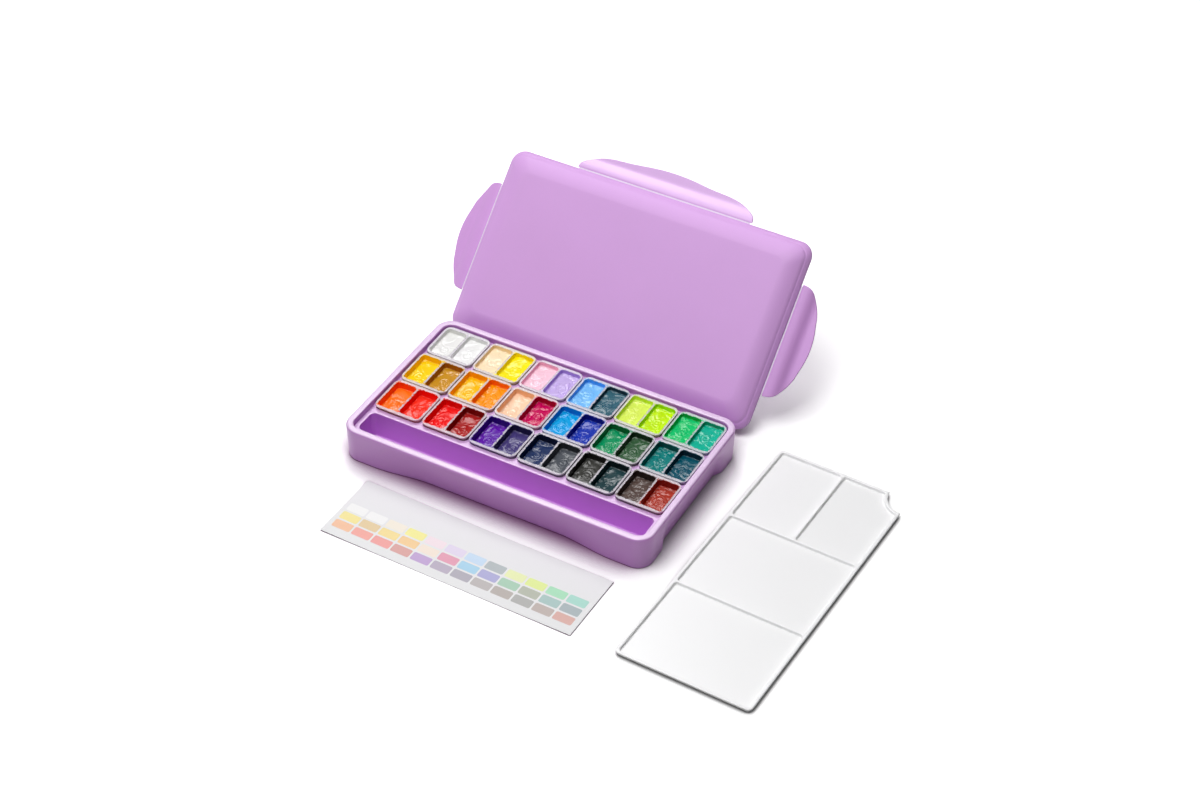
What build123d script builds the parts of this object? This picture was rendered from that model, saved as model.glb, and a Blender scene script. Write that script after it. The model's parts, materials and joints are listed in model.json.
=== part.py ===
"""Gouache paint set box.

A moulded case holds eighteen lift-out twin cups of gouache and a brush trough. Its pillow lid has
four flaps on living hinges, and stands behind the case on one of them, leaning back. A mixing
palette and a colour card lie beside the case.

Millimetres, +Z up. The origin is the centre of the case's flat underside, +X runs along the long
side of the case and +Y towards the lid.
"""
from build123d import *
import os
from math import cos, radians, sin

# ---- case ----
case_length = 270.0
case_width = 158.0
case_height = 30.5
case_corner = 14.0        # plan radius of the outer corners
case_draft = 1.0          # how far each outer wall leans in between the rim and the floor
rim_width = 5.8
rim_round = 1.5
deck_drop = 5.5           # from the rim's top down to the deck between the cups
case_floor = 3.0          # under the cups

# each side wall is tucked in towards its bottom, between two feet at the corners
tuck_top = 3.0            # how far under the rim the tuck starts
long_foot = 30.0          # from the case's end to where the long side's tuck starts
long_tuck_run = 48.0      # over which it deepens
long_tuck_depth = 5.2
short_foot = 27.0
short_tuck_run = 11.0
short_tuck_depth = 4.5
tuck_start = 0.15         # the cut starts this far outside the wall, so that it crosses it cleanly

# ---- trough for brushes, along the front ----
trough_width = 22.2
trough_margin = 3.7       # deck left between the trough's ends and the rim
trough_front = 5.0        # deck left in front of the trough
trough_corner = 4.5
trough_floor = 2.5

# ---- twin cups ----
columns = 6
rows = 3
cup_side_margin = 1.3     # from the rim's inner wall to the outermost lips
cup_back_margin = 1.0
cup_land = 3.9            # from the trough to the front row of lips
lip_gap = 1.0             # between neighbouring lips
lip_corner = 6.0
lip_thickness = 1.3
lip_drop = 2.2            # from the rim's top down to the lips
lip_overhang_x = 0.9      # of the lip over the cup's body
lip_overhang_y = 1.7
cup_wall = 1.0
cup_floor = 1.2
cup_taper = 1.0           # how far each wall of the body leans in by its floor
cell_divider = 2.0
cell_corner = 3.0
well_clearance = 0.4      # between a cup's body and its well

# ---- gouache ----
fill_drop = [3.6, 5.2, 6.0]   # from the lip down to the paint: back, middle and front row
paint_gap = 0.05              # between the paint and its cell's walls

# ---- lid ----
lid_overhang_x = 2.0
lid_overhang_y = 0.2
lid_corner = 12.0
lid_face_corner = 4.0     # plan radius where the curved border meets the flat face
lid_wall = 2.0
lid_rim_band = 2.0        # upright band that carries the hinges
lid_rise = 10.0           # of the curved border above that band
lid_border = 18.0         # width of the curved border
lid_steps = 6             # bands that the curved border is made of
lid_tilt = 43.7           # degrees from lying flat
lid_shift = -4.6          # the lid stands this far along X from the case's middle
foot_gap = 0.3            # from the case's back wall to the foot flap that reaches under its tuck

# ---- flaps ----
flap_thickness = 1.8
flap_drop = 5.4           # of the outer lip below the hinge
flap_flat = 3.0           # from the hinge to where the slope starts
web_thickness = 0.6
web_width = 2.0
hinge_gap = 0.3           # between the web's rounded root and the lid's band
long_flap_root = 159.0
long_flap_corner_x = 7.0
long_flap_corner_y = 10.0
long_flap_flank_x = 35.0
long_flap_flank_y = 16.6
long_flap_depth = 20.3
long_flap_slope = 14.5    # from the hinge to where the lip starts
short_flap_root = 94.0
short_flap_corner_x = 5.0
short_flap_corner_y = 11.4
short_flap_flank_x = 23.0
short_flap_flank_y = 18.6
short_flap_depth = 23.4
short_flap_slope = 12.5

# ---- palette ----
palette_end_clearance = 0.4    # to the rim's inner wall when it is stored on the cups
palette_side_clearance = 1.5
palette_height = 4.0
palette_floor = 1.5
palette_rim = 2.7
palette_rib = 2.0
palette_corner = 4.0
palette_pocket_corner = 2.5
palette_notch = 17.5           # radius of the finger notch at one corner
palette_turn = -2.3            # degrees, as it lies beside the case
palette_standoff = 23.4        # from the case's end to the palette's long side
palette_y = -36.6

# ---- colour card ----
card_length = 219.5
card_width = 64.0
card_thickness = 0.5
card_corner = 1.0
card_turn = -1.15
card_standoff = 17.0
card_x = 7.9

# ---- worked out from the sizes above ----
opening_length = case_length - 2 * rim_width
opening_width = case_width - 2 * rim_width
deck_z = case_height - deck_drop
lip_z = case_height - lip_drop
trough_length = opening_length - 2 * trough_margin
trough_y = -opening_width / 2 + trough_front + trough_width / 2
field_front = trough_y + trough_width / 2 + cup_land
field_back = opening_width / 2 - cup_back_margin
pitch_x = (opening_length - 2 * cup_side_margin + lip_gap) / columns
pitch_y = (field_back - field_front + lip_gap) / rows
lip_length = pitch_x - lip_gap
lip_width = pitch_y - lip_gap
body_length = lip_length - 2 * lip_overhang_x
body_width = lip_width - 2 * lip_overhang_y
body_corner = cell_corner + cup_wall
cell_floor_z = case_floor + cup_floor
cell_length = (body_length - 2 * cup_wall - cell_divider) / 2
cell_width = body_width - 2 * cup_wall
cell_pitch = cell_length + cell_divider
lid_length = case_length + 2 * lid_overhang_x
lid_width = case_width + 2 * lid_overhang_y
web_root = web_thickness / 2
hinge_offset = hinge_gap + web_root
hinge_n = lid_rim_band / 2
foot_z = flap_drop + flap_thickness / 2
foot_wall_inset = (case_draft * (1 - flap_thickness / case_height)
                   + long_tuck_depth * (1 - flap_thickness / (case_height - tuck_top)))
foot_y = case_width / 2 - foot_wall_inset + foot_gap + long_flap_depth
palette_length = opening_length - 2 * palette_end_clearance
palette_width = rows * pitch_y - 2 * palette_side_clearance


def rounded(length, width, radius, z=0.0):
    """A rounded rectangle, centred on the Z axis at the height z."""
    return Pos(0, 0, z) * RectangleRounded(length, width, radius)


def tapered(low, high):
    """A closed block between two parallel rounded rectangles."""
    return loft([low, high], ruled=True)


def tuck_outline(half_length, run, wall_y, depth, z):
    """The area outside one side wall: its inner edge dips in by depth between two easy curves."""
    out_y = wall_y - case_width
    start = wall_y - tuck_start
    flat = half_length - run
    ends = (Vector(1, 0, 0), Vector(1, 0, 0))
    edges = [
        Line((-half_length, out_y), (-half_length, start)),
        Spline((-half_length, start), (-flat, wall_y + depth), tangents=ends),
        Line((-flat, wall_y + depth), (flat, wall_y + depth)),
        Spline((flat, wall_y + depth), (half_length, start), tangents=ends),
        Line((half_length, start), (half_length, out_y)),
        Line((half_length, out_y), (-half_length, out_y)),
    ]
    return Pos(0, 0, z) * make_face(edges)


def tuck_cut(half_length, run, half_width, depth):
    """Wedge that tucks in the wall on the -Y side: full depth at the floor, none at tuck_top."""
    top_z = case_height - tuck_top
    past = 0.05    # the wedge runs this share of its height past both ends
    low_z = -past * top_z
    high_z = (1 + past) * top_z
    lean = case_draft / case_height
    low_wall = -half_width + lean * (case_height - low_z)
    high_wall = -half_width + lean * (case_height - high_z)
    low = tuck_outline(half_length, run, low_wall, depth * (1 + past), low_z)
    high = tuck_outline(half_length, run, high_wall, -depth * past, high_z)
    return loft([low, high], ruled=True)


def case_shell():
    """The block of the case, with its leaning walls and the tuck in each of them."""
    shell = tapered(
        rounded(case_length - 2 * case_draft, case_width - 2 * case_draft, case_corner - case_draft),
        rounded(case_length, case_width, case_corner, case_height),
    )
    half_length = case_length / 2
    half_width = case_width / 2
    long_cut = tuck_cut(half_length - long_foot, long_tuck_run, half_width, long_tuck_depth)
    short_cut = tuck_cut(half_width - short_foot, short_tuck_run, half_length, short_tuck_depth)
    for angle in (0, 180):
        shell -= Rot(0, 0, angle) * long_cut
        shell -= Rot(0, 0, angle + 90) * short_cut
    return shell


def cup_places():
    """Row, column and the middle of each twin cup, from the back row to the front."""
    for row in range(rows):
        y = field_back - lip_width / 2 - row * pitch_y
        for column in range(columns):
            yield row, column, (column - (columns - 1) / 2) * pitch_x, y


def case():
    """The one-piece case: rim, deck, eighteen wells and the trough."""
    body = case_shell()
    body -= extrude(rounded(opening_length, opening_width, case_corner - rim_width, deck_z), deck_drop + 1)
    well = rounded(body_length + 2 * well_clearance, body_width + 2 * well_clearance,
                   body_corner + well_clearance, case_floor)
    well = extrude(well, case_height)
    for _, _, x, y in cup_places():
        body -= Pos(x, y, 0) * well
    trough = extrude(rounded(trough_length, trough_width, trough_corner, trough_floor), case_height)
    body -= Pos(0, trough_y, 0) * trough
    rim_edges = body.edges().filter_by_position(Axis.Z, case_height, case_height)
    return fillet(rim_edges, rim_round)


def cell_section(z, inset):
    """A cell's outline at the height z, drawn in by inset."""
    lean = 2 * cup_taper * (lip_z - z) / (lip_z - cell_floor_z) + 2 * inset
    return rounded(cell_length - lean, cell_width - lean, cell_corner - inset, z)


def cup():
    """A translucent twin cup, centred on the Z axis: lip, leaning body and two cells."""
    body = tapered(
        rounded(body_length - 2 * cup_taper, body_width - 2 * cup_taper, body_corner, case_floor),
        rounded(body_length, body_width, body_corner, lip_z),
    )
    body += extrude(rounded(lip_length, lip_width, lip_corner, lip_z - lip_thickness), lip_thickness)
    cell = tapered(cell_section(cell_floor_z, 0), cell_section(lip_z, 0))
    for side in (-1, 1):
        body -= Pos(side * cell_pitch / 2, 0, 0) * cell
    return body


def paint_pair(row):
    """The gouache in a twin cup's two cells, centred on the Z axis."""
    top = lip_z - fill_drop[row]
    filling = tapered(cell_section(cell_floor_z, paint_gap), cell_section(top, paint_gap))
    return [Pos(side * cell_pitch / 2, 0, 0) * filling for side in (-1, 1)]


def pillow(length, width, rise):
    """A block with an upright band and a border that curves up to a flat face."""
    sections = [rounded(length, width, lid_corner)]
    for step in range(lid_steps + 1):
        angle = radians(90 * step / lid_steps)
        inset = lid_border * (1 - cos(angle))
        corner = lid_corner - (lid_corner - lid_face_corner) * inset / lid_border
        height = lid_rim_band + rise * sin(angle)
        sections.append(rounded(length - 2 * inset, width - 2 * inset, corner, height))
    return loft(sections, ruled=True)


def on_lid(piece):
    """Stands a piece drawn flat, with the rim's front edge on the X axis, where the lid leans."""
    back = hinge_offset * cos(radians(lid_tilt)) + hinge_n * sin(radians(lid_tilt))
    up = hinge_offset * sin(radians(lid_tilt)) - hinge_n * cos(radians(lid_tilt))
    return Pos(lid_shift, foot_y + back, foot_z + up) * Rot(lid_tilt, 0, 0) * piece


def lid():
    """The hollow lid panel, drawn flat with its rim's front edge on the X axis."""
    hollow = Pos(0, 0, -lid_rim_band / 2) * pillow(
        lid_length - 2 * lid_wall, lid_width - 2 * lid_wall, lid_rise - lid_wall + lid_rim_band / 2)
    shell = pillow(lid_length, lid_width, lid_rise) - hollow
    return Pos(0, lid_width / 2, 0) * shell


def flap(root, corner_x, corner_y, flank_x, flank_y, depth, slope):
    """A flap with its hinge along the X axis, pointing to -Y: thin web, slope and outer lip."""
    half = root / 2
    mid = flap_thickness / 2
    corner = (half - corner_x, -corner_y)
    flank = (flank_x, -flank_y)
    bow = Spline(
        corner, flank, (0, -depth), (-flank[0], flank[1]), (-corner[0], corner[1]),
        tangents=(Vector(-1, -0.35, 0), Vector(-1, 0.35, 0)),
    )
    outline = make_face([
        Line((-half, 0), (half, 0)),
        Spline((half, 0), corner, tangents=(Vector(0, -1, 0), Vector(-1, -0.35, 0))),
        bow,
        Spline((-corner[0], corner[1]), (-half, 0), tangents=(Vector(-1, 0.35, 0), Vector(0, 1, 0))),
    ])
    section = Polyline(
        (-web_width, mid), (-flap_flat, mid), (-slope, mid - flap_drop), (-depth - 1, mid - flap_drop),
        (-depth - 1, -mid - flap_drop), (-slope, -mid - flap_drop), (-flap_flat, -mid),
        (-web_width, -mid), close=True,
    )
    profile = Plane.YZ * make_face(section)
    body = extrude(profile, half, both=True)
    body &= Pos(0, 0, -2 * flap_drop) * extrude(outline, 4 * flap_drop)
    web_span = root - 2 * web_width
    web = Pos(0, -web_width / 2 - mid / 2, 0) * Box(web_span, web_width + mid, web_thickness)
    bead = Rot(0, 90, 0) * Cylinder(web_root, web_span)
    return body + web + bead


def long_flap():
    """The flap of a long side."""
    return flap(long_flap_root, long_flap_corner_x, long_flap_corner_y, long_flap_flank_x,
                long_flap_flank_y, long_flap_depth, long_flap_slope)


def short_flap():
    """The flap of a short side."""
    return flap(short_flap_root, short_flap_corner_x, short_flap_corner_y, short_flap_flank_x,
                short_flap_flank_y, short_flap_depth, short_flap_slope)


def palette():
    """The mixing palette, drawn flat and centred: rim, ribs, four pockets and a finger notch."""
    half_length = palette_length / 2
    half_width = palette_width / 2
    corner = (half_width, half_length)
    tray = extrude(rounded(palette_width, palette_length, palette_corner), palette_height)
    tray -= Pos(*corner, palette_height / 2) * Cylinder(palette_notch, 2 * palette_height)
    keep = Pos(*corner, palette_height / 2) * Cylinder(palette_notch + palette_rim, 2 * palette_height)
    inner_width = palette_width - 2 * palette_rim
    inner_length = palette_length - 2 * palette_rim
    third = (inner_length - 2 * palette_rib) / 3
    half_pocket = (inner_width - palette_rib) / 2
    for step in (-1, 0):
        pocket = extrude(rounded(inner_width, third, palette_pocket_corner, palette_floor), palette_height)
        tray -= Pos(0, step * (third + palette_rib), 0) * pocket
    far_y = third + palette_rib
    for side in (-1, 1):
        pocket = extrude(rounded(half_pocket, third, palette_pocket_corner, palette_floor), palette_height)
        tray -= Pos(side * (half_pocket + palette_rib) / 2, far_y, 0) * pocket - keep
    return tray


def card():
    """The colour card, drawn flat and centred."""
    return extrude(rounded(card_length, card_width, card_corner), card_thickness)


def write(name, *pieces):
    """Writes one node as parts/NAME.step, from one or more separate solids."""
    solids = [solid for piece in pieces for solid in piece.solids()]
    shape = solids[0] if len(solids) == 1 else Compound(children=solids)
    export_step(shape, os.path.join("parts", name + ".step"))


def main():
    os.makedirs("parts", exist_ok=True)
    write("case", case())
    one_cup = cup()
    for row, column, x, y in cup_places():
        name = "%s%d" % (("back", "middle", "front")[row], column + 1)
        write("cup_" + name, Pos(x, y, 0) * one_cup)
        write("paint_" + name, *[Pos(x, y, 0) * filling for filling in paint_pair(row)])
    write("lid", on_lid(lid()))
    back_hinge = Pos(0, lid_width + hinge_offset, hinge_n)
    side_hinge = Pos(lid_length / 2 + hinge_offset, lid_width / 2, hinge_n)
    other_hinge = Pos(-lid_length / 2 - hinge_offset, lid_width / 2, hinge_n)
    write("flap_back", on_lid(back_hinge * Rot(0, 0, 180) * long_flap()))
    write("flap_right", on_lid(side_hinge * Rot(0, 0, 90) * short_flap()))
    write("flap_left", on_lid(other_hinge * Rot(0, 0, -90) * short_flap()))
    write("flap_front", Pos(lid_shift, foot_y, foot_z) * long_flap())
    palette_x = case_length / 2 + palette_standoff + palette_width / 2
    write("palette", Pos(palette_x, palette_y, 0) * Rot(0, 0, palette_turn) * palette())
    card_y = -case_width / 2 - card_standoff - card_width / 2
    write("colour_card", Pos(card_x, card_y, 0) * Rot(0, 0, card_turn) * card())


main()
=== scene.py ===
import json
from math import atan2, cos, exp, hypot, pi, radians, sin

import bmesh
import bpy
from mathutils import Matrix, Vector, noise
from mathutils.geometry import interpolate_bezier
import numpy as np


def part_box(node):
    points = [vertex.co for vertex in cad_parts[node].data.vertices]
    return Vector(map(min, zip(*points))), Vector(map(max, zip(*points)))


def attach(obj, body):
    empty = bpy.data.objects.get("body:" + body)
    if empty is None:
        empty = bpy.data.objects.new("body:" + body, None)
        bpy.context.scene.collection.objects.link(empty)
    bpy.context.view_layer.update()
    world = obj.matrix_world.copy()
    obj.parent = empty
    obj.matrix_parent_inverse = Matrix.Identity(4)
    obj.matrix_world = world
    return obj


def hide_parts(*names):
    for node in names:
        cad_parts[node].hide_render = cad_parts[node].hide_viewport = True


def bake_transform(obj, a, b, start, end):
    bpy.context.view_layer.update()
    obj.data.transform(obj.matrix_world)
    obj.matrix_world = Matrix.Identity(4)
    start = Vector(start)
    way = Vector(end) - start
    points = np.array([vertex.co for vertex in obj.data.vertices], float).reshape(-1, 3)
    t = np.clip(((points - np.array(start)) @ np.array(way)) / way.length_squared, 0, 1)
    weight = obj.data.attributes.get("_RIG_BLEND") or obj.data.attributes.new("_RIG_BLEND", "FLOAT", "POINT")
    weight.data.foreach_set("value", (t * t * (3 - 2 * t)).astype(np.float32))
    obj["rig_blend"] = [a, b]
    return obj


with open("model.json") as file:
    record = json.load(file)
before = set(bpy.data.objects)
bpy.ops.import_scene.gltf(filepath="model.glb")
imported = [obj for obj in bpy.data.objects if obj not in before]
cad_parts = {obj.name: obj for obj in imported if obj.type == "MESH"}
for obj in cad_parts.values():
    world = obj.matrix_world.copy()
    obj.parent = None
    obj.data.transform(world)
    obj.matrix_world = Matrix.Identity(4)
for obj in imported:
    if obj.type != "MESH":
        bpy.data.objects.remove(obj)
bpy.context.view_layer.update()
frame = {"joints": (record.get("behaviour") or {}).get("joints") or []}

MM = 0.001

# ---- the case's sizes ----
case_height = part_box("case")[1].z
case_length = 270 * MM
case_width = 158 * MM
case_corner = 14 * MM
case_draft = 1.0 * MM
rim_width = 5.8 * MM
rim_outer_round = 1.7 * MM
rim_inner_round = 1.1 * MM
deck_z = case_height - 5.5 * MM
deck_cove = 0.7 * MM
foot_round = 1.6 * MM
well_floor_z = 3.0 * MM
well_clearance = 0.4 * MM
edge_round = 0.45 * MM
tuck_top_z = case_height - 3.0 * MM
long_tuck_flat = 57 * MM
long_tuck_end = 105 * MM
long_tuck_depth = 5.2 * MM
short_tuck_flat = 41 * MM
short_tuck_end = 52 * MM
short_tuck_depth = 4.5 * MM
wall_band = 3 * MM
OUTER_SHARE = 0.45  # of the case's length or width: the outer walls lie past it
DECK_PAINTED_SHEEN = 0.6  # how much of the rim's painted sheen, a paler colour, the deck gets
trough_length = 251 * MM
trough_width = 22.2 * MM
trough_y = -57.1 * MM
trough_corner = 4.5 * MM
trough_floor_z = 2.5 * MM

# ---- the cups' sizes ----
ROWS = ("back", "middle", "front")
COLUMNS = 6
cup_low, cup_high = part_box("cup_back1")
lip_z = cup_high.z
lip_length = cup_high.x - cup_low.x
lip_width = cup_high.y - cup_low.y
lip_corner = 6 * MM
lip_thickness = 1.3 * MM
lip_flat_z = lip_z - 0.25 * MM
lip_edge_round = 0.45 * MM
lip_ridge = 0.3 * MM
mouth_round = 0.35 * MM
cup_foot_round = 0.8 * MM
cup_wall = 1.0 * MM
cup_floor_z = cup_low.z
cup_taper = 1.0 * MM
body_length = lip_length - 1.8 * MM
body_width = lip_width - 3.4 * MM
cell_divider = 2.0 * MM
cell_corner = 3.0 * MM
cell_length = (body_length - 2 * cup_wall - cell_divider) / 2
cell_width = body_width - 2 * cup_wall
cell_pitch = cell_length + cell_divider
cell_floor_z = cup_floor_z + 1.2 * MM
smear_reach = 2.2 * MM  # from a mouth, over the lip
fill_drop = {"back": 3.6 * MM, "middle": 5.2 * MM, "front": 6.0 * MM}

# ---- the lid's sizes, in its own frame: x along it, y up its face, z out of it ----
lid_length = 274 * MM
lid_width = 158.4 * MM
lid_depth = 12 * MM
lid_corner = 12 * MM
lid_wall = 2.0 * MM
hinges = {joint["name"]: joint for joint in frame["joints"]}
lid_up = Vector(hinges["lid_lift"]["axis"])
lid_tilt = atan2(lid_up.z, lid_up.y)
hinge_gap = 0.6 * MM
hinge_height = 1.0 * MM
flap_thickness = 1.8 * MM
flap_drop = 5.4 * MM


def lid_frame():
    """Turns a piece drawn flat, with the lid's front edge on the X axis, to where the lid leans."""
    hinge = Vector(hinges["right_flap_hinge"]["pos_m"])
    turn = Matrix.Rotation(lid_tilt, 4, "X")
    drawn = Vector((lid_length / 2 + hinge_gap, lid_width / 2, hinge_height))
    return Matrix.Translation(hinge - turn @ drawn) @ turn


# ---- paints, left to right ----
GOUACHE = {
    "back": [
        ("titanium white", (0.87, 0.87, 0.85)), ("ivory white", (0.89, 0.89, 0.88)),
        ("cream", (0.98, 0.82, 0.56)), ("lemon", (1.00, 0.86, 0.00)),
        ("rose pink", (0.98, 0.64, 0.76)), ("lilac", (0.62, 0.48, 0.85)),
        ("sky", (0.20, 0.55, 0.95)), ("slate", (0.03, 0.13, 0.18)),
        ("pale lime", (0.75, 0.92, 0.12)), ("spring green", (0.60, 0.90, 0.00)),
        ("emerald", (0.00, 0.60, 0.17)), ("jade", (0.00, 0.50, 0.34)),
    ],
    "middle": [
        ("cadmium yellow", (1.00, 0.70, 0.00)), ("ochre", (0.64, 0.31, 0.01)),
        ("deep yellow", (1.00, 0.57, 0.00)), ("orange", (1.00, 0.35, 0.00)),
        ("peach", (0.98, 0.69, 0.48)), ("crimson", (0.62, 0.00, 0.11)),
        ("cyan", (0.00, 0.40, 0.80)), ("ultramarine", (0.01, 0.04, 0.46)),
        ("leaf green", (0.00, 0.32, 0.12)), ("olive", (0.04, 0.12, 0.05)),
        ("turquoise", (0.00, 0.23, 0.22)), ("petrol", (0.00, 0.09, 0.14)),
    ],
    "front": [
        ("vermilion", (1.00, 0.20, 0.01)), ("scarlet", (0.95, 0.03, 0.01)),
        ("signal red", (0.88, 0.01, 0.01)), ("carmine", (0.45, 0.01, 0.01)),
        ("violet", (0.13, 0.01, 0.42)), ("indigo", (0.07, 0.05, 0.21)),
        ("prussian blue", (0.02, 0.04, 0.13)), ("graphite", (0.09, 0.10, 0.12)),
        ("lamp black", (0.05, 0.05, 0.045)), ("deep sea", (0.02, 0.06, 0.07)),
        ("umber", (0.11, 0.07, 0.06)), ("sienna", (0.46, 0.05, 0.03)),
    ],
}
SMOOTH_PAINTS = {"titanium white", "ivory white", "cream", "lemon", "rose pink", "sky", "pale lime",
                 "spring green", "cadmium yellow", "deep yellow", "peach"}


# ======== shader nodes ========
class Value:
    """A node's output that takes part in sums, each of which adds a Math node."""

    def __init__(self, nodes, socket):
        self.nodes = nodes
        self.socket = socket

    def math(self, operation, *others):
        """A Math node with this value first."""
        return self.nodes.node("ShaderNodeMath", {"operation": operation}, [self, *others])

    def __add__(self, other):
        return self.math("ADD", other)

    def __sub__(self, other):
        return self.math("SUBTRACT", other)

    def __mul__(self, other):
        return self.math("MULTIPLY", other)

    def __rsub__(self, other):
        return self.nodes.node("ShaderNodeMath", {"operation": "SUBTRACT"}, [other, self])

    __radd__ = __add__
    __rmul__ = __mul__

    def clamp(self):
        """Kept from 0 to 1."""
        return self.nodes.node("ShaderNodeClamp", {}, [self])

    def ramp(self, low, high):
        """0 below low, 1 above high and a smooth step between."""
        smooth = {"interpolation_type": "SMOOTHSTEP"}
        return self.nodes.node("ShaderNodeMapRange", smooth, [self, low, high])


class Nodes:
    """A node tree that is fed by values, links and plain numbers."""

    def __init__(self, tree):
        self.tree = tree

    def node(self, kind, settings, inputs, output=0):
        """Adds a node: its settings first, then its sockets, by index or by name."""
        node = self.tree.nodes.new(kind)
        for key, value in settings.items():
            setattr(node, key, value)
        pairs = inputs.items() if isinstance(inputs, dict) else enumerate(inputs)
        for key, value in pairs:
            self.feed(node.inputs[key], value)
        return Value(self, node.outputs[output])

    def feed(self, socket, value):
        """Links a value to a socket, or sets the socket to a number, a colour or a vector."""
        if isinstance(value, Value):
            self.tree.links.new(value.socket, socket)
        elif isinstance(value, tuple) and len(value) == 3 and socket.type == "RGBA":
            socket.default_value = (*value, 1)
        else:
            socket.default_value = value

    def mix(self, share, first, second):
        """A colour between first and second."""
        return self.node("ShaderNodeMix", {"data_type": "RGBA"}, {0: share, 6: first, 7: second}, 2)


class Finish(Nodes):
    """A material: a Principled shader and the nodes that feed it."""

    def __init__(self, name, **sockets):
        self.material = bpy.data.materials.new(name)
        self.material.use_nodes = True
        super().__init__(self.material.node_tree)
        self.shader = self.tree.nodes["Principled BSDF"]
        for label, value in sockets.items():
            self.set(label.replace("_", " "), value)

    def set(self, label, value):
        """Feeds one of the shader's sockets."""
        self.feed(self.shader.inputs[label], value)

    def place(self):
        """Where a point of the piece is, in the frame that every piece shares."""
        return self.node("ShaderNodeTexCoord", {}, {}, "Object")

    def axis(self, name):
        """How far along X, Y or Z a point is."""
        return self.node("ShaderNodeSeparateXYZ", {}, [self.place()], name)

    def attribute(self, name, output):
        """What a piece's points carry under this name, as a "Fac" or a "Color"."""
        return self.node("ShaderNodeAttribute", {"attribute_name": name}, {}, output)

    def noise(self, size, detail=3, roughness=0.5):
        """Noise from 0 to 1, with bumps about size metres across."""
        inputs = {"Vector": self.place(), "Scale": 1 / size, "Detail": detail, "Roughness": roughness}
        return self.node("ShaderNodeTexNoise", {}, inputs)

    def bump(self, height, strength, distance):
        """Raises the surface by a height from 0 to 1."""
        inputs = {"Height": height, "Strength": strength, "Distance": distance}
        self.set("Normal", self.node("ShaderNodeBump", {}, inputs))


# ======== mesh helpers ========
def outline(bm, length, width, radius, centre=(0, 0), steps=6, tighten=1.0):
    """A function that adds a ring: this rounded rectangle drawn in by an inset, at the height z."""

    def ring(inset, z):
        size = (length - 2 * inset, width - 2 * inset, 1, 1)
        place = Matrix.Translation((*centre, z)) @ Matrix.Diagonal(size)
        corners = bmesh.ops.create_grid(bm, x_segments=1, y_segments=1, size=0.5, matrix=place)["verts"]
        rounded = round_off(bm, corners, max(radius - tighten * inset, 0.2 * MM), steps)
        return open_plate(bm, rounded)

    return ring


def round_off(bm, corners, radius, steps):
    """Rounds these corners of a flat plate. Returns the points of the curves."""
    return bmesh.ops.bevel(bm, geom=corners, offset=radius, offset_type="OFFSET", segments=steps,
                           profile=0.5, affect="VERTICES", material=-1)["verts"]


def open_plate(bm, verts):
    """Takes a plate's face away. Returns the ring of its edges."""
    plate = verts[0].link_faces[0]
    ring = list(plate.edges)
    bmesh.ops.delete(bm, geom=[plate], context="FACES_ONLY")
    return ring


def draw(ring, profile):
    """One ring for each (inset, height) of a profile."""
    return [ring(inset, z) for inset, z in profile]


def skin(bm, rings):
    """Joins each ring to the next one."""
    for low, high in zip(rings, rings[1:]):
        bmesh.ops.bridge_loops(bm, edges=low + high)


def cap(bm, ring):
    """One face across a ring."""
    bmesh.ops.contextual_create(bm, geom=ring)


def sheet_between(bm, rings):
    """The flat face inside the first ring and outside the others."""
    bmesh.ops.triangle_fill(bm, use_beauty=True, edges=[edge for ring in rings for edge in ring])


def quarter(start, end, upright_first, steps=4):
    """Points of a quarter ellipse in (inset, height) from start to end, without start itself."""
    points = []
    for step in range(1, steps + 1):
        turn = pi / 2 * step / steps
        across, along = (1 - cos(turn), sin(turn)) if upright_first else (sin(turn), 1 - cos(turn))
        points.append((start[0] + (end[0] - start[0]) * across, start[1] + (end[1] - start[1]) * along))
    return points


def pocket(bm, ring, top, floor, brim_round, floor_round):
    """A pocket in a flat top face. Returns the ring of its rounded brim."""
    brim = (-brim_round, top)
    profile = [brim, *quarter(brim, (0, top - brim_round), False, 3), (0, floor + floor_round)]
    profile += quarter(profile[-1], (floor_round, floor), True, 3)
    rings = draw(ring, profile)
    skin(bm, rings)
    cap(bm, rings[-1])
    return rings[0]


def make_piece(name, bm, finish, nodes, crease=32):
    """Turns a closed bmesh into an object that stands for CAD nodes, smooth up to a crease angle."""
    bmesh.ops.remove_doubles(bm, verts=bm.verts, dist=0.001 * MM)
    bmesh.ops.recalc_face_normals(bm, faces=bm.faces)
    mesh = bpy.data.meshes.new(name)
    bm.to_mesh(mesh)
    bm.free()
    mesh.materials.append(finish.material)
    mesh.shade_smooth()
    mesh.set_sharp_from_angle(angle=radians(crease))
    piece = bpy.data.objects.new(name, mesh)
    bpy.context.scene.collection.objects.link(piece)
    piece.modifiers.new("even_normals", "WEIGHTED_NORMAL").keep_sharp = True
    if nodes:
        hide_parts(*nodes)
    return piece


# ======== case ========
def tuck_share(along, flat, end):
    """1 where the wall is tucked in fully, 0 at the feet, with an easy curve between."""
    share = min(max((end - abs(along)) / (end - flat), 0), 1)
    return share * share * (3 - 2 * share)


def tuck_in(vert):
    """Draws a point of the outer wall in towards the case's middle."""
    share = max(1 - vert.co.z / tuck_top_z, 0)
    lean = case_draft * share
    if abs(vert.co.y) > case_width / 2 - wall_band - lean:
        depth = long_tuck_depth * tuck_share(vert.co.x, long_tuck_flat, long_tuck_end) * share
        vert.co.y -= depth * (1 if vert.co.y > 0 else -1)
    if abs(vert.co.x) > case_length / 2 - wall_band - lean:
        depth = short_tuck_depth * tuck_share(vert.co.y, short_tuck_flat, short_tuck_end) * share
        vert.co.x -= depth * (1 if vert.co.x > 0 else -1)


def cup_middle(row, column):
    """Where a twin cup stands: the middle of its CAD box."""
    low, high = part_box(f"cup_{row}{column}")
    return (low.x + high.x) / 2, (low.y + high.y) / 2


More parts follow.
